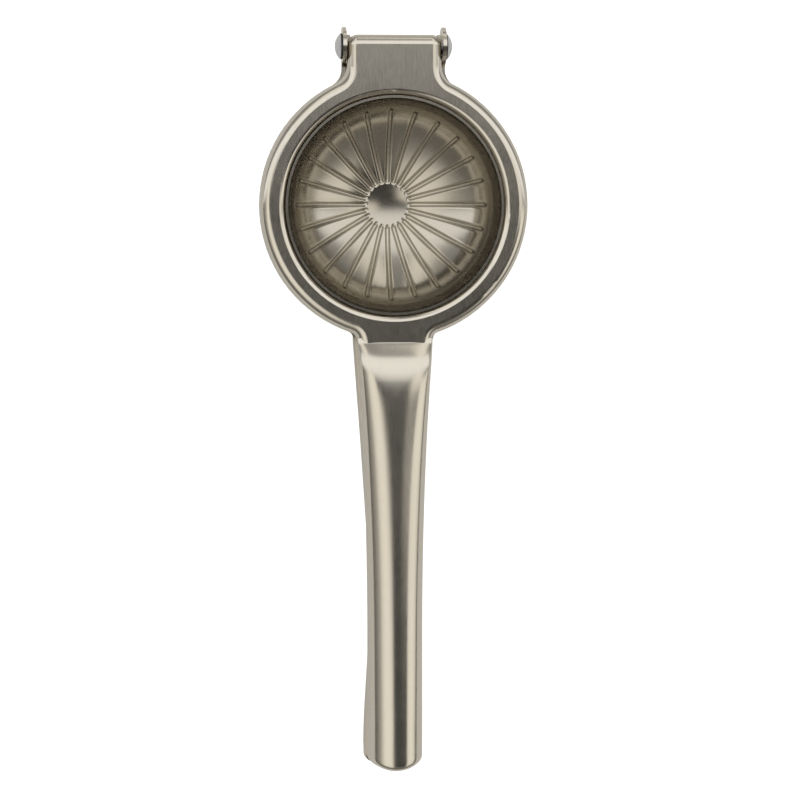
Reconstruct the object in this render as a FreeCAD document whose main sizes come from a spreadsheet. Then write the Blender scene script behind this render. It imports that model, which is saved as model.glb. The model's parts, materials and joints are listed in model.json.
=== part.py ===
import FreeCAD, Part
import math
import os
import Sketcher
from FreeCAD import Placement, Rotation, Vector

# Hinged lemon squeezer pressed from stainless sheet, in millimetres.
# Everything is drawn lying level: ring centre at X0 Y0, hinge towards +Y, handles towards -Y, and the
# top of the upper ring at Z0. At the end the whole thing is tilted as it lies on a table, on the bowl
# and on the tail of the lower handle.

SIZES = {
    # sheet
    "arm_sheet": 1.2,
    "bowl_sheet": 0.8,
    # upper ring
    "ring_radius": 41.2,
    "ring_shoulder": 3.0,
    "flange_depth": 5.2,
    "collar_radius": 33.6,
    "collar_roll": 2.0,
    # lower ring
    "lower_shoulder": 2.8,
    "lower_collar_radius": 36.6,
    "lower_collar_roll": 1.6,
    # hinge
    "tab_half_width": 14.55,
    "ear_half_width": 15.9,
    "tab_end": 52.1,
    "tab_fillet": 5.5,
    "tab_corner": 3.2,
    "end_flange_depth": 2.3,
    "pin_along": 48.5,
    "pin_below": 5.45,
    "lug_neck": 6.0,
    "lug_touch_angle": 232.0,
    "ear_radius": 5.9,
    "ear_neck": 6.3,
    "ear_touch_angle": 240.0,
    "floor_end": 43.5,
    # rivets and washers
    "shank_radius": 2.0,
    "running_clearance": 0.05,
    "head_radius": 4.0,
    "head_height": 1.7,
    "washer_radius": 3.9,
    "washer_thickness": 0.5,
    "peen_radius": 3.0,
    "peen_thickness": 0.8,
    "peen_gap": 0.15,
    # neck between ring and handle
    "neck_end": 47.0,
    "neck_fillet": 2.8,
    "neck_slant": 13.0,
    # handles
    "root_along": 42.5,
    "root_overlap": 1.0,
    "handle_end": 174.1,
    "end_arc_radius": 16.7,
    "end_edge": 1.8,
    "handle_crown": 6.2,
    "crown_length": 18.0,
    "root_half_width": 11.6,
    "end_half_width": 8.5,
    "taper_length": 90.0,
    "root_sunk": 0.3,
    "root_fullness": 0.3,
    "fullness_length": 25.0,
    "lower_crown": 5.0,
    "lower_root_half_width": 12.3,
    "lower_end_half_width": 7.9,
    "lower_taper_length": 64.0,
    "widest_below": 2.0,
    "flank_lean": 0.5,
    # presser cup
    "cup_side_radius": 19.0,
    "cup_depth": 24.7,
    "cup_shoulder_below": 1.0,
    "flute_count": 24,
    "flute_inner": 7.4,
    "flute_outer": 28.7,
    "flute_radius": 0.6,
    # strainer bowl
    "bowl_depth": 27.2,
    "bowl_side_radius": 21.0,
    "bowl_straight": 2.5,
    "bowl_flat_radius": 7.5,
    "hole_radius": 1.6,
}

doc = FreeCAD.newDocument("lemon_squeezer")
sheet = doc.addObject("Spreadsheet::Sheet", "sizes")
for row, (name, number) in enumerate(SIZES.items(), start=1):
    sheet.set("A%d" % row, name)
    sheet.set("B%d" % row, str(number))
    sheet.setAlias("B%d" % row, name)
doc.recompute()


def size(name):
    """The value that the sheet holds under this name."""
    return float(sheet.get(name))


def bind(thing, field, formula):
    """Tie one field of an object to a formula over the sheet's names."""
    words = formula
    for name in sorted(SIZES, key=len, reverse=True):
        words = words.replace("<" + name + ">", "sizes." + name)
    thing.setExpression(field, words)


def origin_plane(body, role):
    """The body's own XY, XZ or YZ plane."""
    for feature in body.Origin.OriginFeatures:
        if feature.Role == role:
            return feature
    raise RuntimeError("no plane " + role)


def new_sketch(body, name, role):
    sketch = body.newObject("Sketcher::SketchObject", name)
    sketch.AttachmentSupport = [(origin_plane(body, role), "")]
    sketch.MapMode = "FlatFace"
    return sketch


def add_edges(sketch, edges):
    """Add a closed run of lines and arcs to a sketch."""
    for edge in edges:
        sketch.addGeometry(edge, False)


def line(a, b):
    return Part.LineSegment(Vector(a[0], a[1], 0), Vector(b[0], b[1], 0))


def arc(a, middle, b):
    return Part.Arc(Vector(a[0], a[1], 0), Vector(middle[0], middle[1], 0), Vector(b[0], b[1], 0))


def polar(centre, radius, degrees):
    angle = math.radians(degrees)
    return (centre[0] + radius * math.cos(angle), centre[1] + radius * math.sin(angle))


def hollow_fillet(radius, fillet, half_width, slant, toward):
    """The hollow between the ring and the side of its tab or neck, seen from above.

    Gives the point on the ring, the middle, and the point on the side, on the right.
    """
    lean = math.radians(slant)
    centre = Vector(half_width + fillet * math.cos(lean), 0, 0)
    centre.y = toward * math.sqrt((radius + fillet) ** 2 - centre.x ** 2)
    on_ring = centre * (radius / (radius + fillet))
    on_side = Vector(half_width, centre.y - toward * fillet * math.sin(lean), 0)
    middle = centre + ((on_ring - centre) + (on_side - centre)).normalize() * fillet
    return on_ring, middle, on_side


def plate_outline(spec, inset):
    """Ring seen from above, with its hinge tab at the top and the neck of its handle at the bottom."""
    radius = size("ring_radius") - inset
    tab_half = size(spec["half_width"]) - inset
    tab_end = size(spec["tab_end"]) - inset
    corner = size("tab_corner") - inset
    tab = hollow_fillet(radius, size("tab_fillet") + inset, tab_half, 0.0, 1)
    corner_start = Vector(tab_half, tab_end - corner, 0)
    corner_end = Vector(tab_half - corner, tab_end, 0)
    corner_middle = Vector(*polar((tab_half - corner, tab_end - corner), corner, 45), 0)
    neck_half = size(spec["root"]) - inset
    neck = hollow_fillet(radius, size("neck_fillet") + inset, neck_half, size("neck_slant"), -1)
    neck_end = inset - size("neck_end")
    run = (neck[2].y - neck_end) * math.tan(math.radians(size("neck_slant")))
    neck_corner = Vector(neck_half - run, neck_end, 0)

    def mirrored(points):
        return [Vector(-p.x, p.y, 0) for p in points]

    def both_sides(make, *points):
        return [make(*points), make(*mirrored(points))]

    return [
        Part.LineSegment(corner_end, mirrored([corner_end])[0]),
        Part.LineSegment(neck_corner, mirrored([neck_corner])[0]),
        *both_sides(Part.Arc, corner_start, corner_middle, corner_end),
        *both_sides(Part.LineSegment, tab[2], corner_start),
        *both_sides(Part.Arc, *tab),
        *both_sides(Part.Arc, tab[0], Vector(radius, 0, 0), neck[0]),
        *both_sides(Part.Arc, *neck),
        *both_sides(Part.LineSegment, neck[2], neck_corner),
    ]


def top_edges(shape, level, inner):
    """Names of the edges at one level: those round the hole, or those round the outside."""
    names = []
    for number, edge in enumerate(shape.Edges, start=1):
        box = edge.BoundBox
        if abs(box.ZMin - level) > 0.01 or abs(box.ZMax - level) > 0.01:
            continue
        reach = max(abs(box.XMax), abs(box.YMax), abs(box.XMin), abs(box.YMin))
        names.append(("Edge%d" % number, reach < inner + 0.1))
    hole = [name for name, is_hole in names if is_hole]
    outside = [name for name, is_hole in names if not is_hole]
    return hole, outside


def plate_body(label, spec, inset):
    """Ring, tab and neck as one pad with a hole, rounded outside and rolled over into the hole."""
    body = doc.addObject("PartDesign::Body", label)
    sketch = new_sketch(body, label + "_outline", "XY_Plane")
    add_edges(sketch, plate_outline(spec, inset))
    hole_radius = size(spec["collar"]) + inset
    hole = sketch.addGeometry(Part.Circle(Vector(0, 0, 0), Vector(0, 0, 1), hole_radius), False)
    sketch.addConstraint(Sketcher.Constraint("Coincident", hole, 3, -1, 1))
    radius_rule = sketch.addConstraint(Sketcher.Constraint("Radius", hole, hole_radius))
    sketch.renameConstraint(radius_rule, "collar")
    bind(sketch, "Constraints.collar", "<%s> + %s" % (spec["collar"], inset_rule(inset)))
    sketch.AttachmentOffset = Placement(Vector(0, 0, -inset), Rotation())
    pad = body.newObject("PartDesign::Pad", label + "_plate")
    pad.Profile = sketch
    pad.Reversed = True
    bind(pad, "Length", "<flange_depth>")
    doc.recompute()
    outside_names = top_edges(pad.Shape, -inset, hole_radius)[1]
    shoulder = body.newObject("PartDesign::Fillet", label + "_shoulder")
    shoulder.Base = (pad, outside_names)
    bind(shoulder, "Radius", "<%s> - %s" % (spec["shoulder"], inset_rule(inset)))
    doc.recompute()
    hole_names = top_edges(shoulder.Shape, -inset, hole_radius)[0]
    roll = body.newObject("PartDesign::Fillet", label + "_roll")
    roll.Base = (shoulder, hole_names)
    bind(roll, "Radius", "<%s> - %s" % (spec["roll"], inset_rule(inset)))
    body.Tip = roll
    doc.recompute()
    return body


def inset_rule(inset):
    """The inner face of a pressing lies one sheet thickness inside the outer one."""
    return "<arm_sheet>" if inset else "0"


def taper(along, spec):
    """Half width of a handle: wide at the root and easing into the grip."""
    past = max(0.0, along - size("root_along"))
    left = max(0.0, 1.0 - past / size(spec["taper"]))
    return size(spec["end"]) + (size(spec["root"]) - size(spec["end"])) * left ** spec["taper_power"]


def crown(along, rise):
    """Height of a handle's crown over the ring, sunk a little where it starts inside the ring."""
    past = max(0.0, along - size("root_along"))
    return rise * (1 - math.exp(-past / size("crown_length"))) - size("root_sunk") * math.exp(-past / 2)


def fullness(along):
    """How far a quarter of the arch bulges: a plain ellipse along the grip, nearly flat on top at the root."""
    ellipse = 4 * (math.sqrt(2) - 1) / 3
    past = max(0.0, along - size("root_along"))
    return ellipse + size("root_fullness") * math.exp(-past / size("fullness_length"))


def bezier(points, along):
    curve = Part.BezierCurve()
    curve.setPoles([Vector(x, -along, z) for x, z in points])
    return curve.toShape()


def handle_slice(along, spec, inset):
    """One slice of a channel handle: flanks that lean in, two quarters of an arch and a straight foot."""
    half = taper(along, spec) - inset
    top = crown(along, size(spec["crown"])) - inset
    widest = -size("widest_below")
    foot = -size("flange_depth") - inset
    lean = size("flank_lean")
    full = fullness(along)
    rise = top - widest
    flank = [(half - lean, foot), (half, (foot + widest) / 2), (half, widest)]
    quarter = [(half, widest), (half, widest + full * rise), (half * (1 - full), top), (0.0, top)]

    def other_side(points):
        return [(-x, z) for x, z in reversed(points)]

    return Part.Wire([
        bezier(flank, along),
        bezier(quarter, along),
        bezier(other_side(quarter), along),
        bezier(other_side(flank), along),
        bezier([(lean - half, foot), (half - lean, foot)], along),
    ])


def handle_solid(spec, inset):
    """The handle as a smooth loft through its slices, with its tail cut to an arc and rounded over."""
    # The handle starts inside the ring's top, and its hollow starts clear of the collar's wall.
    start = size(spec["collar"]) + size("root_overlap") + inset / 2
    stations = [start, 42.5, 46.0, 52.0, 62.0, 80.0, 105.0, 140.0, 180.0 + inset]
    slices = [handle_slice(along, spec, inset) for along in stations]
    solid = Part.makeLoft(slices, True, False).cut(tail_cutter(inset))
    arch = [edge for edge in solid.Edges
            if edge.BoundBox.YMax < 10 - size("handle_end") and edge.BoundBox.ZLength > 1]
    return solid.makeFillet(size("end_edge") - inset, arch)


def tail_cutter(inset):
    """What lies beyond the rounded tail of a handle, seen from above."""
    end = inset - size("handle_end")
    radius = size("end_arc_radius") - inset
    reach = 30.0
    disc = Part.makeCylinder(radius, 2 * reach, Vector(0, end + radius, -reach))
    block = Part.makeBox(2 * reach, reach, 2 * reach, Vector(-reach, end + radius - reach, -reach))
    return block.cut(disc)


def set_solid(label, shape):
    """A piece whose solid is worked out here."""
    feature = doc.addObject("Part::Feature", label)
    feature.Shape = shape
    return feature


def fuse(label, *pieces):
    joined = doc.addObject("Part::MultiFuse", label)
    joined.Shapes = list(pieces)
    doc.recompute()
    return joined


def cut(label, base, tool):
    left = doc.addObject("Part::Cut", label)
    left.Base = base
    left.Tool = tool
    doc.recompute()
    return left


def side_plates(label, outer, inner, outline):
    """Two upright plates, one each side, with one outline given as (Y, Z) edges."""
    wire = Part.Wire([edge.toShape() for edge in outline])
    face = Part.Face(wire)
    right = face.extrude(Vector(outer - inner, 0, 0))
    right.translate(Vector(inner, 0, 0))
    left = right.mirror(Vector(0, 0, 0), Vector(1, 0, 0))
    return set_solid(label, Part.makeCompound([left, right]))


def upright(y, z):
    return Vector(0, y, z)


def lug_outline():
    """Lug of the upper arm: the flank drops from the flange and goes round the pin."""
    along = size("pin_along")
    level = -size("pin_below")
    radius = size("tab_end") - along
    start = math.radians(size("lug_touch_angle"))
    touch = upright(along + radius * math.cos(start), level + radius * math.sin(start))
    # The lug starts a little below the shoulder, where the flange is already upright.
    upright_from = -size("ring_shoulder") - size("arm_sheet") / 2
    flange_point = upright(along - size("lug_neck"), -size("flange_depth"))
    inside_back = upright(along - size("lug_neck"), upright_from)
    inside_end = upright(size("tab_end") - size("tab_corner"), upright_from)
    end_point = upright(along + radius, level)
    return [
        Part.LineSegment(inside_back, flange_point),
        Part.LineSegment(flange_point, touch),
        Part.Arc(touch, upright(along, level - radius), end_point),
        Part.LineSegment(end_point, inside_end),
        Part.LineSegment(inside_end, inside_back),
    ]


def ear_outline():
    """Ear of the lower arm, drawn upside down: a round end about the pin on a tapering neck."""
    along = size("pin_along")
    level = -size("pin_below")
    radius = size("ear_radius")
    start = math.radians(size("ear_touch_angle"))
    low = upright(along + radius * math.cos(start), level + radius * math.sin(start))
    high = upright(along, level + radius)
    neck = along - size("ear_neck")
    neck_low = upright(neck, -size("flange_depth"))
    neck_high = upright(neck, -size("lower_shoulder"))
    return [
        Part.LineSegment(neck_low, low),
        Part.Arc(low, upright(along + radius, level), high),
        Part.LineSegment(high, neck_high),
        Part.LineSegment(neck_high, neck_low),
    ]


def pin_bore(label, radius):
    """Hole right across the hinge, on the pin's line."""
    bore = doc.addObject("Part::Cylinder", label)
    bind(bore, "Radius", radius)
    reach = 2 * size("ear_half_width")
    bore.Height = 2 * reach
    bore.Placement = Placement(Vector(-reach, size("pin_along"), -size("pin_below")),
                               Rotation(Vector(0, 1, 0), 90))
    return bore


def press_arm(label, spec):
    """An arm pressed from one sheet: the outer form less the same form one thickness smaller."""
    sheet_inset = size("arm_sheet")
    outer = fuse(label + "_outer", plate_body(label + "_outer_plate", spec, 0.0),
                 set_solid(label + "_outer_handle", handle_solid(spec, 0.0)))
    core = fuse(label + "_core", plate_body(label + "_core_plate", spec, sheet_inset),
                set_solid(label + "_core_handle", handle_solid(spec, sheet_inset)))
    return cut(label + "_pressing", outer, core)


def make_upper_arm():
    spec = {"half_width": "tab_half_width", "tab_end": "tab_end", "collar": "collar_radius",
            "roll": "collar_roll", "shoulder": "ring_shoulder", "root": "root_half_width",
            "end": "end_half_width", "taper": "taper_length", "taper_power": 2.0, "crown": "handle_crown"}
    pressing = press_arm("upper", spec)
    outer = size("tab_half_width")
    lugs = side_plates("upper_lugs", outer, outer - size("arm_sheet"), lug_outline())
    joined = fuse("upper_with_lugs", pressing, lugs)
    opened = cut("upper_end_opened", joined, end_opening())
    return cut("upper_arm", opened, pin_bore("upper_pin_bore", "<shank_radius> + <running_clearance>"))


def end_opening():
    """The room between the lugs, under the tab's turned-down end, where the rivets' ends turn."""
    room = doc.addObject("Part::Box", "upper_end_opening")
    bind(room, "Length", "2 * (<tab_half_width> - <arm_sheet> - <peen_gap> / 2)")
    bind(room, "Width", "<tab_end>")
    bind(room, "Height", "<flange_depth>")
    bind(room, "Placement.Base.x", "<peen_gap> / 2 + <arm_sheet> - <tab_half_width>")
    bind(room, "Placement.Base.y", "<pin_along>")
    bind(room, "Placement.Base.z", "-<end_flange_depth> - <flange_depth>")
    return room


def make_lower_arm():
    spec = {"half_width": "ear_half_width", "tab_end": "pin_along", "collar": "lower_collar_radius",
            "roll": "lower_collar_roll", "shoulder": "lower_shoulder", "root": "lower_root_half_width",
            "end": "lower_end_half_width", "taper": "lower_taper_length", "taper_power": 1.1,
            "crown": "lower_crown"}
    pressing = press_arm("lower", spec)
    outer = size("ear_half_width")
    inner = outer - size("arm_sheet")
    # The floor stops short of the hinge, so the upper arm's end can swing down between the ears.
    gap = doc.addObject("Part::Box", "lower_floor_cut")
    bind(gap, "Length", "4 * <ear_half_width>")
    bind(gap, "Width", "<pin_along>")
    bind(gap, "Height", "4 * <flange_depth>")
    bind(gap, "Placement.Base.x", "-2 * <ear_half_width>")
    bind(gap, "Placement.Base.y", "<floor_end>")
    bind(gap, "Placement.Base.z", "-2 * <flange_depth>")
    trimmed = cut("lower_trimmed", pressing, gap)
    ears = side_plates("lower_ears", outer, inner, ear_outline())
    joined = fuse("lower_with_ears", trimmed, ears)
    bored = cut("lower_bored", joined, pin_bore("lower_pin_bore", "<shank_radius>"))
    arm = doc.addObject("Part::Mirroring", "lower_arm")
    arm.Source = bored
    arm.Base = Vector(0, 0, -size("pin_below"))
    arm.Normal = Vector(0, 0, 1)
    doc.recompute()
    return arm


def cup_profile(rim_radius, depth, side_radius, straight, inset):
    """Half profile of a pressed cup: straight wall, side arc and bottom arc that run on smoothly.

    Gives the centres and radii of the two arcs and the point where they meet.
    """
    side_centre = (rim_radius - side_radius, -straight)
    reach = depth - straight
    # The bottom arc's radius follows from the depth and from the two arcs touching.
    bottom_radius = (side_centre[0] ** 2 + reach ** 2 - side_radius ** 2) / (2 * (reach - side_radius))
    bottom_centre = (0.0, bottom_radius - depth)
    angle = math.atan2(side_centre[1] - bottom_centre[1], side_centre[0])
    meet = (bottom_centre[0] + (bottom_radius - inset) * math.cos(angle),
            bottom_centre[1] + (bottom_radius - inset) * math.sin(angle))
    return side_centre, bottom_centre, bottom_radius, angle, meet


def cup_wire(rim_radius, depth, side_radius, straight, rim_level, thickness, flat_radius=0.0):
    """Closed half section of a pressed cup whose inner face has the sizes given."""
    side, bottom, bottom_radius, angle, inner_meet = cup_profile(rim_radius, depth, side_radius, straight, 0.0)
    outer_meet = cup_profile(rim_radius, depth, side_radius, straight, -thickness)[4]
    turn = math.degrees(angle)
    outer_radius = bottom_radius + thickness
    low_turn = -90 + math.degrees(math.asin(flat_radius / bottom_radius))
    low = polar(bottom, bottom_radius, low_turn)
    outer_level = low[1] - thickness
    outer_turn = -math.degrees(math.asin((bottom[1] - outer_level) / outer_radius)) if flat_radius else -90.0
    outer_low = polar(bottom, outer_radius, outer_turn)
    inner_wall = (rim_radius, -straight)
    outer_wall = (rim_radius + thickness, -straight)
    inner_rim = (rim_radius, rim_level)
    outer_rim = (rim_radius + thickness, rim_level)
    edges = [
        line(inner_rim, inner_wall),
        arc(inner_wall, polar(side, side_radius, turn / 2), inner_meet),
        arc(inner_meet, polar(bottom, bottom_radius, (turn + low_turn) / 2), low),
    ]
    if flat_radius:
        edges.append(line(low, (0.0, low[1])))
    edges.append(line((0.0, low[1]), (0.0, outer_level)))
    if flat_radius:
        edges.append(line((0.0, outer_level), outer_low))
    return edges + [
        arc(outer_low, polar(bottom, outer_radius, (turn + outer_turn) / 2), outer_meet),
        arc(outer_meet, polar(side, side_radius + thickness, turn / 2), outer_wall),
        line(outer_wall, outer_rim),
        line(outer_rim, inner_rim),
    ]


def revolve_body(label, edges):
    """A turned body from a half section drawn in X and Z, about the vertical axis."""
    body = doc.addObject("PartDesign::Body", label)
    sketch = new_sketch(body, label + "_section", "XZ_Plane")
    add_edges(sketch, edges)
    turned = body.newObject("PartDesign::Revolution", label + "_form")
    turned.Profile = sketch
    turned.ReferenceAxis = (sketch, ["V_Axis"])
    turned.Angle = 360
    body.Tip = turned
    doc.recompute()
    return body


def flute_tool(radius):
    """One rounded bar along the inside of the presser cup, from near the middle to high on its side."""
    rim = size("collar_radius") - size("bowl_sheet")
    side_radius = size("cup_side_radius")
    side, bottom, bottom_radius, angle, meet = cup_profile(
        rim, size("cup_depth"), side_radius, size("cup_shoulder_below"), 0.0)
    turn = math.degrees(angle)
    start_turn = math.degrees(math.asin(size("flute_inner") / bottom_radius)) - 90
    end_turn = -math.degrees(math.acos((size("flute_outer") - side[0]) / side_radius))

    def place(point):
        return Vector(point[0], 0, point[1])

    start = polar(bottom, bottom_radius, start_turn)
    end = polar(side, side_radius, end_turn)
    bottom_run = Part.Arc(place(start), place(polar(bottom, bottom_radius, (start_turn + turn) / 2)), place(meet))
    side_run = Part.Arc(place(meet), place(polar(side, side_radius, (turn + end_turn) / 2)), place(end))
    path = Part.Wire([bottom_run.toShape(), side_run.toShape()])
    tangent = bottom_run.tangent(bottom_run.FirstParameter)[0]
    ring = Part.Wire([Part.Circle(place(start), tangent, radius).toShape()])
    bar = path.makePipeShell([ring], True, False)
    return bar.fuse([Part.makeSphere(radius, place(start)), Part.makeSphere(radius, place(end))])


def make_presser_cup():
    """Fluted cup: one wedge of it is pressed with its flute, then turned round the axis and sewn up."""
    thickness = size("bowl_sheet")
    rim = size("collar_radius") - thickness
    count = int(size("flute_count"))
    step = 360.0 / count
    wire = Part.Wire([edge.toShape() for edge in cup_wire(
        rim, size("cup_depth"), size("cup_side_radius"), size("cup_shoulder_below"), -0.2, thickness)])
    face = Part.Face(wire)
    face.rotate(Vector(0, 0, 0), Vector(1, 0, 0), 90)
    face.rotate(Vector(0, 0, 0), Vector(0, 0, 1), -step / 2)
    wedge = face.revolve(Vector(0, 0, 0), Vector(0, 0, 1), step)
    space = revolve_inside(rim, step)
    reach = 2 * rim
    sector = Part.makeCylinder(reach, 2 * reach, Vector(0, 0, -reach), Vector(0, 0, 1), step)
    sector.rotate(Vector(0, 0, 0), Vector(0, 0, 1), -step / 2)
    ridge = flute_tool(size("flute_radius") + thickness).common(sector).cut(space)
    pressed = wedge.fuse(ridge).cut(flute_tool(size("flute_radius")))
    middle = Vector(0, 0, 0)
    side_normal = Vector(math.sin(math.radians(step / 2)), math.cos(math.radians(step / 2)), 0)
    skins = []
    for face in pressed.Faces:
        centre = face.CenterOfMass
        off_right = abs(centre.x * side_normal.x - centre.y * side_normal.y)
        off_left = abs(centre.x * side_normal.x + centre.y * side_normal.y)
        if min(off_right, off_left) < 1e-4 and face.Surface.TypeId == "Part::GeomPlane":
            continue
        skins.append(face)
    all_faces = []
    for number in range(count):
        for face in skins:
            turned = face.copy()
            turned.rotate(middle, Vector(0, 0, 1), 90 + number * step)
            all_faces.append(turned)
    shell = Part.makeShell(all_faces)
    shell.sewShape()
    return set_solid("presser_cup", Part.makeSolid(shell))


def revolve_inside(rim, step):
    """A wedge of the space inside the presser cup, which the ridges' bars must not fill."""
    side, bottom, bottom_radius, angle, meet = cup_profile(
        rim, size("cup_depth"), size("cup_side_radius"), size("cup_shoulder_below"), 0.0)
    turn = math.degrees(angle)
    wall = (rim, -size("cup_shoulder_below"))
    low = (0.0, -size("cup_depth"))
    edges = [
        line((0.0, 5.0), (rim, 5.0)),
        line((rim, 5.0), wall),
        arc(wall, polar(side, size("cup_side_radius"), turn / 2), meet),
        arc(meet, polar(bottom, bottom_radius, turn - (turn + 90) / 2), low),
        line(low, (0.0, 5.0)),
    ]
    wire = Part.Wire([edge.toShape() for edge in edges])
    face = Part.Face(wire)
    face.rotate(Vector(0, 0, 0), Vector(1, 0, 0), 90)
    face.rotate(Vector(0, 0, 0), Vector(0, 0, 1), -step)
    return face.revolve(Vector(0, 0, 0), Vector(0, 0, 1), 2 * step)


def make_strainer_bowl():
    """Bowl that holds the half fruit, with rings of drain holes and a small flat underneath."""
    thickness = size("bowl_sheet")
    rim = size("lower_collar_radius") - thickness
    level = -size("pin_below") - 0.25
    depth = size("bowl_depth")
    edges = cup_wire(rim, depth, size("bowl_side_radius"), size("bowl_straight"), 0.0, thickness,
                     size("bowl_flat_radius"))
    body = revolve_body("strainer_bowl", edges)
    for number, (radius, count) in enumerate(((8.0, 8), (14.5, 14), (21.0, 20)), start=1):
        sketch = new_sketch(body, "drain_hole_%d" % number, "XY_Plane")
        hole = sketch.addGeometry(Part.Circle(Vector(0, radius, 0), Vector(0, 0, 1), size("hole_radius")), False)
        rule = sketch.addConstraint(Sketcher.Constraint("Radius", hole, size("hole_radius")))
        sketch.renameConstraint(rule, "drain")
        bind(sketch, "Constraints.drain", "<hole_radius>")
        pocket = body.newObject("PartDesign::Pocket", "drain_cut_%d" % number)
        pocket.Profile = sketch
        pocket.Type = "ThroughAll"
        doc.recompute()
        ring = body.newObject("PartDesign::PolarPattern", "drain_ring_%d" % number)
        ring.Originals = [pocket]
        ring.Axis = (sketch, ["N_Axis"])
        ring.Angle = 360
        ring.Occurrences = count
        body.Tip = ring
        doc.recompute()
    body.Placement = Placement(Vector(0, 0, level), Rotation())
    return body


def make_rivet(label, side):
    """Domed rivet: head, shank through washer, ear and lug, and a peened end inside the lug."""
    body = doc.addObject("PartDesign::Body", label)
    sketch = new_sketch(body, label + "_section", "XZ_Plane")
    head_start = size("ear_half_width") + size("washer_thickness")
    head_end = head_start + size("head_height")
    peen_end = size("tab_half_width") - size("arm_sheet") - size("peen_gap")
    peen_start = peen_end - size("peen_thickness")
    shank = size("shank_radius")
    head = size("head_radius")
    peen = size("peen_radius")
    dome_radius = (head ** 2 + size("head_height") ** 2) / (2 * size("head_height"))
    dome_centre = (head_end - dome_radius, 0.0)
    dome_turn = math.degrees(math.asin(head / dome_radius)) / 2
    add_edges(sketch, [
        line((peen_start, 0), (peen_start, peen)),
        line((peen_start, peen), (peen_end, peen)),
        line((peen_end, peen), (peen_end, shank)),
        line((peen_end, shank), (head_start, shank)),
        line((head_start, shank), (head_start, head)),
        arc((head_start, head), polar(dome_centre, dome_radius, dome_turn), (head_end, 0)),
        line((head_end, 0), (peen_start, 0)),
    ])
    turned = body.newObject("PartDesign::Revolution", label + "_form")
    turned.Profile = sketch
    turned.ReferenceAxis = (sketch, ["H_Axis"])
    turned.Angle = 360
    body.Tip = turned
    doc.recompute()
    body.Placement = hinge_place(side)
    return body


def hinge_place(side):
    """Where a piece drawn for the right end of the pin goes, at the right or the left end."""
    turn = Rotation() if side > 0 else Rotation(Vector(0, 0, 1), 180)
    return Placement(Vector(0, size("pin_along"), -size("pin_below")), turn)


def make_washer(label, side):
    """Thin dark washer under a rivet's head."""
    body = doc.addObject("PartDesign::Body", label)
    sketch = new_sketch(body, label + "_rings", "YZ_Plane")
    for name in ("washer_radius", "shank_radius"):
        circle = sketch.addGeometry(Part.Circle(Vector(0, 0, 0), Vector(0, 0, 1), size(name)), False)
        sketch.addConstraint(Sketcher.Constraint("Coincident", circle, 3, -1, 1))
        rule = sketch.addConstraint(Sketcher.Constraint("Radius", circle, size(name)))
        sketch.renameConstraint(rule, name)
        bind(sketch, "Constraints." + name, "<" + name + ">")
    bind(sketch, "AttachmentOffset.Base.z", "<ear_half_width>")
    pad = body.newObject("PartDesign::Pad", label + "_disc")
    pad.Profile = sketch
    bind(pad, "Length", "<washer_thickness>")
    body.Tip = pad
    doc.recompute()
    body.Placement = hinge_place(side)
    return body


pieces = [
    make_upper_arm(),
    make_presser_cup(),
    make_lower_arm(),
    make_strainer_bowl(),
    make_rivet("rivet_left", -1),
    make_rivet("rivet_right", 1),
    make_washer("washer_left", -1),
    make_washer("washer_right", 1),
]
doc.recompute()

for thing in doc.Objects:
    if "Invalid" in thing.State or "Error" in thing.State:
        raise RuntimeError("%s failed: %s" % (thing.Label, thing.State))

def lowest_when_tilted(piece, degrees):
    """The lowest point of a piece after the squeezer has been tilted about the X axis."""
    shape = piece.Shape.copy()
    shape.rotate(Vector(0, 0, 0), Vector(1, 0, 0), degrees)
    return shape.optimalBoundingBox(False).ZMin


def lying_tilt(bowl, arm):
    """The tilt at which the bowl and the tail of the lower handle stand on one level."""
    tilt = 6.0
    for attempt in range(4):
        gap = lowest_when_tilted(arm, tilt) - lowest_when_tilted(bowl, tilt)
        tilt += math.degrees(gap / size("handle_end"))
    return tilt


tilt = lying_tilt(pieces[3], pieces[2])
lying = Placement(Vector(0, 0, 0), Rotation(Vector(1, 0, 0), tilt))
for piece in pieces:
    piece.Placement = lying.multiply(piece.Placement)
doc.recompute()

boxes = [piece.Shape.optimalBoundingBox(False) for piece in pieces]
lowest = min(box.ZMin for box in boxes)
middle_along = (min(box.YMin for box in boxes) + max(box.YMax for box in boxes)) / 2
for piece in pieces:
    piece.Placement = Placement(Vector(0, -middle_along, -lowest), Rotation()).multiply(piece.Placement)
doc.recompute()
print("tilt %.4f, moved by Y %.4f Z %.4f" % (tilt, -middle_along, -lowest))

os.makedirs("parts", exist_ok=True)
for piece in pieces:
    shape = piece.Shape
    if shape.isNull() or not shape.isValid():
        raise RuntimeError("%s has no valid solid" % piece.Label)
    box = shape.BoundBox
    print(piece.Label, len(shape.Solids), round(shape.Volume, 1), len(shape.Faces),
          [round(v, 1) for v in (box.XMin, box.XMax, box.YMin, box.YMax, box.ZMin, box.ZMax)])
    shape.exportStep("parts/%s.step" % piece.Label)
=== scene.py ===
import json
import math

import bmesh
import bpy
from mathutils import Matrix, Vector


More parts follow.
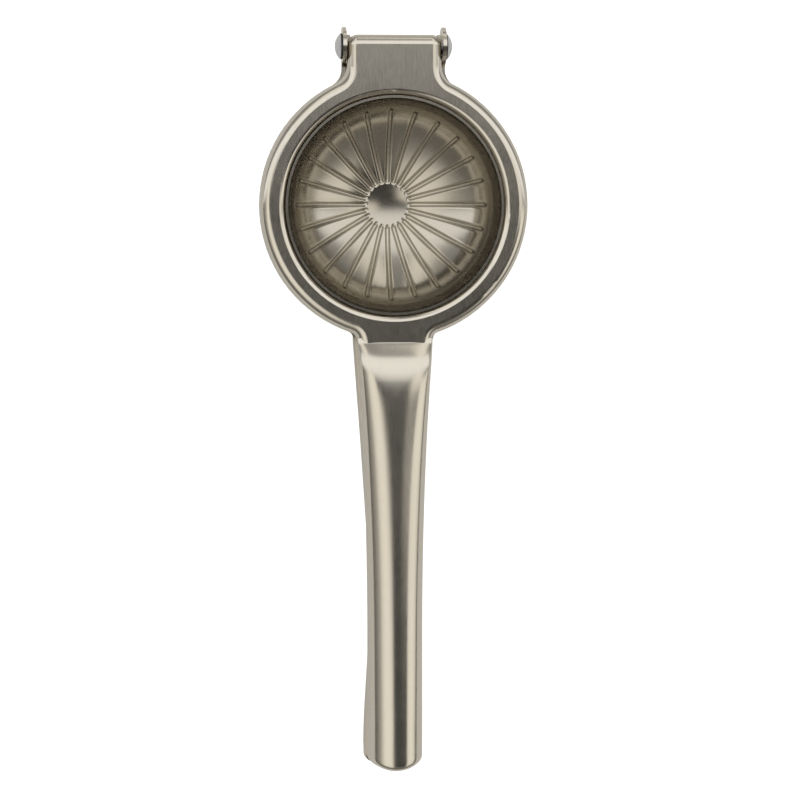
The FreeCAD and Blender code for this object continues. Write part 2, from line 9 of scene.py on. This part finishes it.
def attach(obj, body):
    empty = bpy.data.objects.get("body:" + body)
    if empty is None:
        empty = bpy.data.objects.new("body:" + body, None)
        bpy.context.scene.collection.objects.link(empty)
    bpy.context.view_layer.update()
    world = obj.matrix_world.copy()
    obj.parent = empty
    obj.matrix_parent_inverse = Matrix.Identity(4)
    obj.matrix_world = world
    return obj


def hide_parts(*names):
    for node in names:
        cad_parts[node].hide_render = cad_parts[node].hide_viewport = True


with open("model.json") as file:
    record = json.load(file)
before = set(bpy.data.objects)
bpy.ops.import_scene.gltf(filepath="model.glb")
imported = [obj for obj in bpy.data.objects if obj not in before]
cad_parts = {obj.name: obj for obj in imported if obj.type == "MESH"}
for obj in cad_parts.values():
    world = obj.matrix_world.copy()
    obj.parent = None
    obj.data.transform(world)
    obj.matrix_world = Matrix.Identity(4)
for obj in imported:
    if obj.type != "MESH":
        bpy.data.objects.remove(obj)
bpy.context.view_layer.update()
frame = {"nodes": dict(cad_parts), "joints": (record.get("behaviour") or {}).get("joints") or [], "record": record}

MM = 0.001

# Where the hinge pin lies when the squeezer is drawn level, ring centre at zero and ring top at zero.
PIN_ALONG = 48.5
PIN_BELOW = 5.45

# Presser cup, in millimetres with the squeezer level: its inner face, its sheet and its pressed flutes.
CUP_RIM = 32.8
CUP_TOP = -0.2
CUP_WALL_END = -1.0
CUP_DEPTH = 24.7
CUP_SIDE_RADIUS = 19.0
CUP_SHEET = 0.8
FLUTES = 24
FLUTE_START = 7.4
FLUTE_END = 28.7
FLUTE_DEPTH = 0.6
FLUTE_REACH = 0.95

# Upper handle, in the same way: one sheet, nearly square across at its root and rounder along the grip.
ARM_SHEET = 1.2
HANDLE_ROOT = 41.9
HANDLE_START = 40.6
HANDLE_END = 173.98
HANDLE_START_SLOPE = 0.25
CROWN_FIRST = 3.844
CROWN_RISE = 4.6
CROWN_POWER = 1.25
CROWN_CREEP = 0.017
HANDLE_FOOT = -5.2
HANDLE_WIDEST = -2.0
HANDLE_LEAN = 0.5
ROOT_HALF_WIDTH = 11.63
END_HALF_WIDTH = 8.5
TAPER_LENGTH = 90.0
TAIL_RADIUS = 16.7
TAIL_EDGE = 1.8
TAIL_BLEND = 16.0
TAIL_NARROWING = 12.0
END_SQUARE = 2.25
ROOT_SQUARE = 5.0
SQUARE_LENGTH = 14.0
FINE_SLICES_TO = 12.0
FINE_SLICE = 0.35
COARSE_SLICE = 1.6
FLANK_STEPS = 6
ARCH_STEPS = 40
TAIL_STEPS = 14
TAIL_TURNS = 6
TAIL_WALL_STEPS = 4

# Where the arm's own plate ends at the handle, and the part near there that is set exactly level.
PLATE_CUT = -44.6
LEVEL_PART = -38.0
LEVEL_SLACK = -0.01

# The studio, by degrees off straight up: how bright each light is, as a share of its strength.
HINGE_LIGHT = ((0, 0.03), (1.5, 0.1), (2.4, 0.24), (10, 0.95), (18, 1.0),
               (36, 0.95), (48, 0.36), (90, 0.25))
HINGE_STRENGTH = 1.25
SIDE_LIGHT = ((0, 0.0), (10, 0.02), (17, 0.95), (30, 1.0), (50, 0.42), (70, 0.17), (90, 0.12))
DARK_SHIFT = 17.0
DARK_WIDENING = 0.45
DARK_FROM = 1.5
DARK_FULL = 6.0
SIDE_STRENGTH = 1.15
TAIL_LIGHT = ((0, 0.0), (24, 0.05), (36, 1.0), (60, 1.0), (90, 0.6))
TAIL_STRENGTH = 0.18
TAIL_FADE = ((0, 1.0), (22, 1.0), (55, 0.25), (90, 0.1))
HINGE_COLOR = (1.0, 0.985, 0.95)
SIDE_COLOR = (1.0, 0.95, 0.86)
TAIL_COLOR = (1.0, 0.93, 0.8)
STUDIO_DARK = (0.03, 0.029, 0.027)
FLOOR_IN_METAL = 0.03

# Surfaces: how fine the grain and the uneven patches are, and how far they move gloss, tone and relief.
GRAIN_SCALE = 900.0
PATCH_SCALE = 60.0
GRAIN_GLOSS = 0.06
PATCH_GLOSS = 0.03
DARKER_TONE = 0.9
LIGHTER_TONE = 1.08
GRAIN_HEIGHT = 0.00005
SHARP_CAD_EDGE = 35.0
SHARP_CUP_EDGE = 50.0
SHARP_ARM_EDGE = 40.0
FLOOR_WHITE = 0.9
FLOOR_GLOW = 0.75
FLOOR_SIZE = 3.0

# The tilt at which it lies on the table, from the normal of the bowl's flat.
base_axis = frame["record"]["mounts"][0]["axis"]
LYING_TILT = math.atan2(base_axis[1], -base_axis[2])
HINGE = Vector(frame["joints"][0]["pos_m"])


def level_direction(x, y, z):
    """A direction given with the squeezer level, turned to how it lies."""
    return Matrix.Rotation(LYING_TILT, 3, "X") @ Vector((x, y, z))


def level_point(x, y, z):
    """A point in millimetres with the squeezer level, as a place in the frame."""
    return HINGE + level_direction(x, y - PIN_ALONG, z + PIN_BELOW) * MM


def to_level(place):
    """The same point in millimetres with the squeezer level."""
    flat = Matrix.Rotation(-LYING_TILT, 3, "X") @ (Vector(place) - HINGE) / MM
    return flat + Vector((0.0, PIN_ALONG, -PIN_BELOW))


class Nodes:
    """A small helper that adds shader nodes to one material and joins them."""

    def __init__(self, material):
        material.use_nodes = True
        self.tree = material.node_tree
        self.tree.nodes.clear()

    def add(self, kind, **values):
        node = self.tree.nodes.new(kind)
        for name, value in values.items():
            setattr(node, name, value)
        return node

    def join(self, source, target):
        self.tree.links.new(source, target)


def stretched_noise(nodes, stretch, scale, detail, roughness):
    """Noise in the object's own space, drawn out by a different amount along each axis."""
    place = nodes.add("ShaderNodeTexCoord")
    mapping = nodes.add("ShaderNodeMapping")
    mapping.inputs["Scale"].default_value = stretch
    nodes.join(place.outputs["Object"], mapping.inputs["Vector"])
    noise = nodes.add("ShaderNodeTexNoise")
    noise.inputs["Scale"].default_value = scale
    noise.inputs["Detail"].default_value = detail
    noise.inputs["Roughness"].default_value = roughness
    nodes.join(mapping.outputs["Vector"], noise.inputs["Vector"])
    return noise.outputs["Fac"]


def remap(nodes, value, low, high):
    """A value between 0 and 1 spread over another range."""
    node = nodes.add("ShaderNodeMapRange")
    node.inputs["To Min"].default_value = low
    node.inputs["To Max"].default_value = high
    nodes.join(value, node.inputs["Value"])
    return node.outputs["Result"]


def steel(name, color, roughness, grain, bump):
    """Satin stainless steel with a fine directional grain and soft uneven patches."""
    material = bpy.data.materials.new(name)
    nodes = Nodes(material)
    shader = nodes.add("ShaderNodeBsdfPrincipled")
    shader.inputs["Metallic"].default_value = 1.0
    out = nodes.add("ShaderNodeOutputMaterial")
    nodes.join(shader.outputs["BSDF"], out.inputs["Surface"])

    fine = stretched_noise(nodes, grain, GRAIN_SCALE, 6.0, 0.7)
    patches = stretched_noise(nodes, (1.0, 1.0, 1.0), PATCH_SCALE, 3.0, 0.5)

    tone = nodes.add("ShaderNodeMix", data_type="RGBA")
    tone.inputs["A"].default_value = (*[channel * DARKER_TONE for channel in color], 1.0)
    tone.inputs["B"].default_value = (*[channel * LIGHTER_TONE for channel in color], 1.0)
    nodes.join(fine, tone.inputs["Factor"])
    nodes.join(tone.outputs["Result"], shader.inputs["Base Color"])

    rough_fine = remap(nodes, fine, roughness - GRAIN_GLOSS, roughness + GRAIN_GLOSS)
    rough_patch = remap(nodes, patches, -PATCH_GLOSS, PATCH_GLOSS)
    total = nodes.add("ShaderNodeMath", operation="ADD")
    nodes.join(rough_fine, total.inputs[0])
    nodes.join(rough_patch, total.inputs[1])
    nodes.join(total.outputs[0], shader.inputs["Roughness"])

    relief = nodes.add("ShaderNodeBump")
    relief.inputs["Strength"].default_value = bump
    relief.inputs["Distance"].default_value = GRAIN_HEIGHT
    nodes.join(fine, relief.inputs["Height"])
    nodes.join(relief.outputs["Normal"], shader.inputs["Normal"])
    return material


def washer_black():
    """Washer painted dull near-black: painted shadow for the dark gap under each rivet head."""
    material = bpy.data.materials.new("washer_black")
    nodes = Nodes(material)
    shader = nodes.add("ShaderNodeBsdfPrincipled")
    out = nodes.add("ShaderNodeOutputMaterial")
    nodes.join(shader.outputs["BSDF"], out.inputs["Surface"])
    fine = stretched_noise(nodes, (1.0, 1.0, 1.0), 1500.0, 4.0, 0.6)
    tone = nodes.add("ShaderNodeMix", data_type="RGBA")
    tone.inputs["A"].default_value = (0.012, 0.012, 0.014, 1.0)
    tone.inputs["B"].default_value = (0.03, 0.03, 0.033, 1.0)
    nodes.join(fine, tone.inputs["Factor"])
    nodes.join(tone.outputs["Result"], shader.inputs["Base Color"])
    nodes.join(remap(nodes, fine, 0.5, 0.7), shader.inputs["Roughness"])
    return material


def dress(node_name, material):
    """Give one CAD piece its finish and smooth shading, with its sharp edges left crisp."""
    piece = frame["nodes"][node_name]
    piece.data.shade_smooth()
    piece.data.set_sharp_from_angle(angle=math.radians(SHARP_CAD_EDGE))
    for slot in piece.material_slots:
        slot.material = material


STEEL = (0.60, 0.57, 0.51)
arm_steel = steel("arm_steel", STEEL, 0.16, (3.0, 0.25, 3.0), 0.06)
# The cup's steel is the arm's steel painted darker: painted shade for the dim inside of the pressed cup.
cup_steel = steel("cup_steel", (0.50, 0.47, 0.415), 0.17, (1.0, 1.0, 1.0), 0.05)
bowl_steel = steel("bowl_steel", STEEL, 0.22, (1.0, 1.0, 1.0), 0.08)
rivet_steel = steel("rivet_steel", (0.60, 0.61, 0.63), 0.3, (1.0, 1.0, 1.0), 0.15)
# The washers' near-black is painted shadow for the dark gap between each rivet head and its ear.
black = washer_black()

dress("upper_arm", arm_steel)
dress("lower_arm", arm_steel)
dress("presser_cup", cup_steel)
dress("strainer_bowl", bowl_steel)
for side in ("left", "right"):
    dress("rivet_" + side, rivet_steel)
    dress("washer_" + side, black)


def cup_section():
    """Inner face of the presser cup from rim to middle: distance out, height, and which way it faces."""
    side_centre = (CUP_RIM - CUP_SIDE_RADIUS, CUP_WALL_END)
    reach = CUP_DEPTH + CUP_WALL_END
    overlap = side_centre[0] ** 2 + reach ** 2 - CUP_SIDE_RADIUS ** 2
    bottom_radius = overlap / (2 * (reach - CUP_SIDE_RADIUS))
    bottom_level = bottom_radius - CUP_DEPTH
    meet = math.atan2(side_centre[1] - bottom_level, side_centre[0])
    section = [(CUP_RIM, CUP_TOP, 0.0), (CUP_RIM, CUP_WALL_END, 0.0)]
    side_steps = 44
    for step in range(1, side_steps + 1):
        turn = meet * step / side_steps
        section.append((side_centre[0] + CUP_SIDE_RADIUS * math.cos(turn),
                        side_centre[1] + CUP_SIDE_RADIUS * math.sin(turn), turn))
    bottom_steps = 70
    for step in range(1, bottom_steps):
        turn = meet + (-math.pi / 2 - meet) * step / bottom_steps
        section.append((bottom_radius * math.cos(turn),
                        bottom_level + bottom_radius * math.sin(turn), turn))
    return section


def flute_depth(out, sideways):
    """How deep the cup is pressed at a place: a soft-lipped groove with round ends."""
    past_end = max(0.0, FLUTE_START - out, out - FLUTE_END)
    share = math.hypot(sideways, past_end) / FLUTE_REACH
    if share >= 1.0:
        return 0.0
    return FLUTE_DEPTH * (1.0 - share ** 2) ** 2


def sector_places(out):
    """Sideways distances across one flute's share of the circle, closest together over the flute."""
    half = math.pi / FLUTES * out
    near = min(FLUTE_REACH, 0.75 * half)
    inner = 7
    outer = 4
    right = [near * step / inner for step in range(inner)]
    right += [near + (half - near) * step / outer for step in range(outer)]
    return [-value for value in reversed(right[1:])] + right + [half]


def make_fluted_cup():
    """The presser cup as one sheet whose flutes are pressed through both its faces."""
    rings = []
    points = []
    for turned_over in (False, True):
        for out, height, turn in cup_section():
            ring = []
            places = sector_places(out)
            for flute in range(FLUTES):
                middle = math.pi / 2 + flute * 2 * math.pi / FLUTES
                for sideways in places[:-1]:
                    push = flute_depth(out, sideways) + (CUP_SHEET if turned_over else 0.0)
                    far = out + push * math.cos(turn)
                    angle = middle + sideways / out
                    ring.append(len(points))
                    points.append(level_point(far * math.cos(angle), far * math.sin(angle),
                                              height + push * math.sin(turn)))
            rings.append(ring)
    count = len(rings) // 2
    faces = []
    around = len(rings[0])

    def band(first, second):
        for place in range(around):
            after = (place + 1) % around
            faces.append((first[place], first[after], second[after], second[place]))

    for number in range(count - 1):
        band(rings[number + 1], rings[number])
        band(rings[count + number], rings[count + number + 1])
    band(rings[0], rings[count])
    middles = ((rings[count - 1], -CUP_DEPTH, False), (rings[-1], -CUP_DEPTH - CUP_SHEET, True))
    for last, level, flip in middles:
        points.append(level_point(0.0, 0.0, level))
        for place in range(around):
            after = (place + 1) % around
            triangle = (last[after], last[place], len(points) - 1)
            faces.append(triangle if flip else triangle[::-1])
    mesh = bpy.data.meshes.new("fluted_cup")
    mesh.from_pydata([tuple(point) for point in points], [], faces)
    mesh.validate()
    mesh.shade_smooth()
    mesh.set_sharp_from_angle(angle=math.radians(SHARP_CUP_EDGE))
    cup = bpy.data.objects.new("fluted_cup", mesh)
    bpy.context.scene.collection.objects.link(cup)
    mesh.materials.append(cup_steel)
    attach(cup, "upper_half")
    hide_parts("presser_cup")


def handle_half_width(along):
    """Half width of the handle: wide at the root and easing into the grip."""
    left = max(0.0, 1.0 - max(0.0, along - HANDLE_ROOT) / TAPER_LENGTH)
    return END_HALF_WIDTH + (ROOT_HALF_WIDTH - END_HALF_WIDTH) * left ** 2


def handle_top(along):
    """Height of the crown: it climbs quickly out of the ring's flat top and then slowly to the tail."""
    past = along - HANDLE_ROOT
    if past < 0.0:
        return HANDLE_START_SLOPE * past
    reached = 1.0 - math.exp(-((past / CROWN_RISE) ** CROWN_POWER))
    return CROWN_FIRST * reached + CROWN_CREEP * past


def handle_squareness(along):
    """The power of the arch's outline: high where it is nearly square, 2 where it is an ellipse."""
    past = max(0.0, along - HANDLE_ROOT)
    return END_SQUARE + (ROOT_SQUARE - END_SQUARE) * math.exp(-past / SQUARE_LENGTH)


def handle_columns(along, inset):
    """One slice from the left foot over the top to the right foot, as pairs of sideways and height."""
    half = handle_half_width(along) - inset
    top = handle_top(along) - inset
    power = 2.0 / handle_squareness(along)
    left = []
    for step in range(FLANK_STEPS):
        share = step / FLANK_STEPS
        leaned = half - HANDLE_LEAN + HANDLE_LEAN * math.sin(share * math.pi / 2)
        left.append((-leaned, HANDLE_FOOT + (HANDLE_WIDEST - HANDLE_FOOT) * share))
    over = []
    for step in range(ARCH_STEPS + 1):
        turn = math.pi * step / ARCH_STEPS
        across = -math.copysign(abs(math.cos(turn)) ** power, math.cos(turn))
        lift = max(0.0, math.sin(turn)) ** power
        over.append((half * across, HANDLE_WIDEST + (top - HANDLE_WIDEST) * lift))
    return left + over + [(-x, z) for x, z in reversed(left)]


def tail_reach(sideways, inset):
    """How far along the handle's rounded tail lies at one place across it."""
    radius = TAIL_RADIUS - inset
    return HANDLE_END - TAIL_RADIUS + math.sqrt(max(0.0, radius ** 2 - sideways ** 2))


def handle_skin(inset):
    """Rows of points over one face of the handle, down to the foot of its tail."""
    rows = []
    along = HANDLE_START
    straight_end = HANDLE_END - TAIL_BLEND
    while along < straight_end:
        rows.append([(x, along, z) for x, z in handle_columns(along, inset)])
        along += FINE_SLICE if along < HANDLE_ROOT + FINE_SLICES_TO else COARSE_SLICE
    last = handle_columns(straight_end, inset)
    edge = TAIL_EDGE - inset
    for step in range(TAIL_STEPS + 1):
        share = step / TAIL_STEPS
        rows.append([(x, straight_end + (tail_reach(x, inset) - edge - straight_end) * share, z)
                     for x, z in last])
    for step in range(1, TAIL_TURNS + 1):
        turn = math.pi / 2 * step / TAIL_TURNS
        drop = edge * (1.0 - math.cos(turn))
        narrower = 1.0 - drop / TAIL_NARROWING
        rows.append([(x * narrower, tail_reach(x, inset) - edge + edge * math.sin(turn),
                      max(HANDLE_FOOT, z - drop)) for x, z in last])
    edge_row = rows[-1]
    for step in range(1, TAIL_WALL_STEPS + 1):
        share = step / TAIL_WALL_STEPS
        rows.append([(x, y, z + (HANDLE_FOOT - z) * share) for x, y, z in edge_row])
    return rows


def add_handle(shape):
    """Both faces of the handle's sheet and the cut edges that join them, added to a mesh in the making."""
    skins = []
    for inset in (0.0, ARM_SHEET):
        skins.append([[shape.verts.new(level_point(x, -along, z)) for x, along, z in row]
                      for row in handle_skin(inset)])

    def quad(*corners):
        unique = list(dict.fromkeys(corners))
        if len(unique) > 2:
            shape.faces.new(unique)

    for skin, outward in zip(skins, (True, False)):
        for first, second in zip(skin, skin[1:]):
            for place in range(len(first) - 1):
                corners = (first[place], second[place], second[place + 1], first[place + 1])
                quad(*(corners if outward else corners[::-1]))
    outer, inner = skins
    for number in range(len(outer) - 1):
        quad(outer[number][0], inner[number][0], inner[number + 1][0], outer[number + 1][0])
        quad(outer[number + 1][-1], inner[number + 1][-1], inner[number][-1], outer[number][-1])
    for row, flip in ((0, False), (-1, True)):
        for place in range(len(outer[0]) - 1):
            corners = (outer[row][place], outer[row][place + 1], inner[row][place + 1], inner[row][place])
            quad(*(corners[::-1] if flip else corners))


def make_pressed_arm():
    """The upper arm: its tab and ring as the CAD has them, and a handle that rises sooner from the ring."""
    node = frame["nodes"]["upper_arm"]
    shape = bmesh.new()
    shape.from_mesh(node.data)
    cut_place = level_point(0.0, PLATE_CUT, 0.0)
    everything = shape.verts[:] + shape.edges[:] + shape.faces[:]
    bmesh.ops.bisect_plane(shape, geom=everything, plane_co=cut_place,
                           plane_no=level_direction(0.0, 1.0, 0.0), clear_inner=True)
    for point in shape.verts:
        flat = to_level(point.co)
        if flat.y < LEVEL_PART and flat.z > LEVEL_SLACK:
            point.co = level_point(flat.x, flat.y, 0.0)
    add_handle(shape)
    mesh = bpy.data.meshes.new("pressed_upper_arm")
    shape.to_mesh(mesh)
    shape.free()
    mesh.validate()
    mesh.shade_smooth()
    mesh.set_sharp_from_angle(angle=math.radians(SHARP_ARM_EDGE))
    arm = bpy.data.objects.new("pressed_upper_arm", mesh)
    bpy.context.scene.collection.objects.link(arm)
    mesh.materials.append(arm_steel)
    for face in mesh.polygons:
        face.material_index = 0
    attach(arm, "upper_half")
    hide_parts("upper_arm")


def make_floor():
    """A wide pale table that keeps the shadow; the camera sees it white, and metal hardly sees its glow."""
    size = FLOOR_SIZE
    mesh = bpy.data.meshes.new("floor")
    corners = [(-size, -size, 0.0), (size, -size, 0.0), (size, size, 0.0), (-size, size, 0.0)]
    mesh.from_pydata(corners, [], [(0, 1, 2, 3)])
    floor = bpy.data.objects.new("floor", mesh)
    bpy.context.scene.collection.objects.link(floor)
    material = bpy.data.materials.new("floor_white")
    nodes = Nodes(material)
    out = nodes.add("ShaderNodeOutputMaterial")
    matte = nodes.add("ShaderNodeBsdfDiffuse")
    matte.inputs["Color"].default_value = (FLOOR_WHITE, FLOOR_WHITE, FLOOR_WHITE, 1.0)
    glow = nodes.add("ShaderNodeEmission")
    glow.inputs["Color"].default_value = (1.0, 1.0, 1.0, 1.0)
    glow.inputs["Strength"].default_value = FLOOR_GLOW
    both = nodes.add("ShaderNodeAddShader")
    nodes.join(matte.outputs["BSDF"], both.inputs[0])
    nodes.join(glow.outputs["Emission"], both.inputs[1])
    paths = nodes.add("ShaderNodeLightPath")
    in_metal = nodes.add("ShaderNodeMath", operation="MULTIPLY")
    in_metal.inputs[1].default_value = FLOOR_IN_METAL
    nodes.join(paths.outputs["Is Glossy Ray"], in_metal.inputs[0])
    seen = nodes.add("ShaderNodeMath", operation="MAXIMUM")
    nodes.join(paths.outputs["Is Camera Ray"], seen.inputs[0])
    nodes.join(in_metal.outputs[0], seen.inputs[1])
    choice = nodes.add("ShaderNodeMixShader")
    nodes.join(seen.outputs[0], choice.inputs["Fac"])
    nodes.join(matte.outputs["BSDF"], choice.inputs[1])
    nodes.join(both.outputs["Shader"], choice.inputs[2])
    nodes.join(choice.outputs["Shader"], out.inputs["Surface"])
    mesh.materials.append(material)


def math_node(nodes, operation, first, second=None, third=None):
    """One step of arithmetic on numbers or on the values of other nodes."""
    node = nodes.add("ShaderNodeMath", operation=operation)
    for socket, value in zip(node.inputs, (first, second, third)):
        if isinstance(value, (int, float)):
            socket.default_value = value
        elif value is not None:
            nodes.join(value, socket)
    return node.outputs[0]


def angle_off_zenith(nodes, sideways, up):
    """Angle of a direction from straight up, towards one side."""
    return math_node(nodes, "ARCTAN2", sideways, up)


def light_curve(nodes, angle, points):
    """How bright a light is at an angle, from a few listed points in degrees."""
    share = nodes.add("ShaderNodeMath", operation="DIVIDE", use_clamp=True)
    share.inputs[1].default_value = math.radians(90.0)
    nodes.join(angle, share.inputs[0])
    curve = nodes.add("ShaderNodeFloatCurve")
    line = curve.mapping.curves[0]
    for place, (degrees, level) in zip(line.points, (points[0], points[-1])):
        place.location = (degrees / 90.0, level)
    for degrees, level in points[1:-1]:
        line.points.new(degrees / 90.0, level)
    curve.mapping.update()
    nodes.join(share.outputs[0], curve.inputs["Value"])
    return curve.outputs[0]


def light_sheet(nodes, strength, color):
    """A soft light whose strength follows a direction in the studio."""
    tint = nodes.add("ShaderNodeVectorMath", operation="SCALE")
    tint.inputs[0].default_value = color
    nodes.join(strength, tint.inputs["Scale"])
    return tint.outputs[0]


def add_colors(nodes, first, second):
    """Two colours of light together."""
    total = nodes.add("ShaderNodeVectorMath", operation="ADD")
    nodes.join(first, total.inputs[0])
    nodes.join(second, total.inputs[1])
    return total.outputs[0]


def make_world():
    """A soft studio: a big light on the hinge side, one on each long side, a weak one behind."""
    world = bpy.data.worlds.new("studio")
    bpy.context.scene.world = world
    nodes = Nodes(world)
    out = nodes.add("ShaderNodeOutputWorld")
    place = nodes.add("ShaderNodeTexCoord")
    level = nodes.add("ShaderNodeMapping", vector_type="VECTOR")
    level.inputs["Rotation"].default_value = (-LYING_TILT, 0.0, 0.0)
    nodes.join(place.outputs["Generated"], level.inputs["Vector"])
    split = nodes.add("ShaderNodeSeparateXYZ")
    nodes.join(level.outputs["Vector"], split.inputs["Vector"])
    to_hinge = angle_off_zenith(nodes, split.outputs["Y"], split.outputs["Z"])
    to_tail = math_node(nodes, "MULTIPLY", to_hinge, -1.0)
    to_right = angle_off_zenith(nodes, split.outputs["X"], split.outputs["Z"])
    kept = light_curve(nodes, to_tail, TAIL_FADE)
    beyond = nodes.add("ShaderNodeMapRange", interpolation_type="SMOOTHSTEP")
    beyond.inputs["From Min"].default_value = math.radians(DARK_FROM)
    beyond.inputs["From Max"].default_value = math.radians(DARK_FULL)
    nodes.join(to_tail, beyond.inputs["Value"])
    shift = math_node(nodes, "MULTIPLY", beyond.outputs["Result"], math.radians(DARK_SHIFT))
    wider = math_node(nodes, "MULTIPLY_ADD", beyond.outputs["Result"], DARK_WIDENING, 1.0)
    aside = math_node(nodes, "SUBTRACT", to_right, shift)
    off_dark = math_node(nodes, "DIVIDE", math_node(nodes, "ABSOLUTE", aside), wider)
    hinge = math_node(nodes, "MULTIPLY", light_curve(nodes, to_hinge, HINGE_LIGHT), HINGE_STRENGTH)
    tail = math_node(nodes, "MULTIPLY", light_curve(nodes, to_tail, TAIL_LIGHT), TAIL_STRENGTH)
    both = light_curve(nodes, off_dark, SIDE_LIGHT)
    side = math_node(nodes, "MULTIPLY", math_node(nodes, "MULTIPLY", both, SIDE_STRENGTH), kept)
    # Where lights overlap, the brighter one counts.
    brighter = nodes.add("ShaderNodeVectorMath", operation="MAXIMUM")
    nodes.join(light_sheet(nodes, hinge, HINGE_COLOR), brighter.inputs[0])
    nodes.join(light_sheet(nodes, side, SIDE_COLOR), brighter.inputs[1])
    brightest = nodes.add("ShaderNodeVectorMath", operation="MAXIMUM")
    nodes.join(brighter.outputs[0], brightest.inputs[0])
    nodes.join(light_sheet(nodes, tail, TAIL_COLOR), brightest.inputs[1])
    base = nodes.add("ShaderNodeCombineXYZ")
    for socket, value in zip(base.inputs, STUDIO_DARK):
        socket.default_value = value
    lit = nodes.add("ShaderNodeBackground")
    nodes.join(add_colors(nodes, brightest.outputs[0], base.outputs[0]), lit.inputs["Color"])
    white = nodes.add("ShaderNodeBackground")
    white.inputs["Color"].default_value = (1.0, 1.0, 1.0, 1.0)
    paths = nodes.add("ShaderNodeLightPath")
    choice = nodes.add("ShaderNodeMixShader")
    nodes.join(paths.outputs["Is Camera Ray"], choice.inputs["Fac"])
    nodes.join(lit.outputs["Background"], choice.inputs[1])
    nodes.join(white.outputs["Background"], choice.inputs[2])
    nodes.join(choice.outputs["Shader"], out.inputs["Surface"])


def make_camera():
    """Nearly overhead, a little to the left and towards the hinge, as in the photograph."""
    distance = 1.0
    left_lean = math.radians(6.0)
    hinge_lean = math.radians(4.2)
    width_seen = 245.5 * MM
    aim = level_point(1.43, -59.6, 0.0)
    back = level_direction(-math.tan(left_lean), math.tan(hinge_lean), 1.0).normalized()
    data = bpy.data.cameras.new("camera")
    data.sensor_width = 36.0
    data.lens = data.sensor_width / (width_seen / distance)
    data.clip_start = 0.01
    data.clip_end = 50.0
    camera = bpy.data.objects.new("camera", data)
    bpy.context.scene.collection.objects.link(camera)
    up = level_direction(0.0, 1.0, 0.0)
    across = up.cross(back).normalized()
    up = back.cross(across)
    turn = Matrix((across, up, back)).transposed()
    camera.matrix_world = Matrix.Translation(aim + back * distance) @ turn.to_4x4()
    bpy.context.scene.camera = camera


make_fluted_cup()
make_pressed_arm()
make_floor()
make_world()
make_camera()
bpy.context.scene.view_settings.view_transform = "Standard"
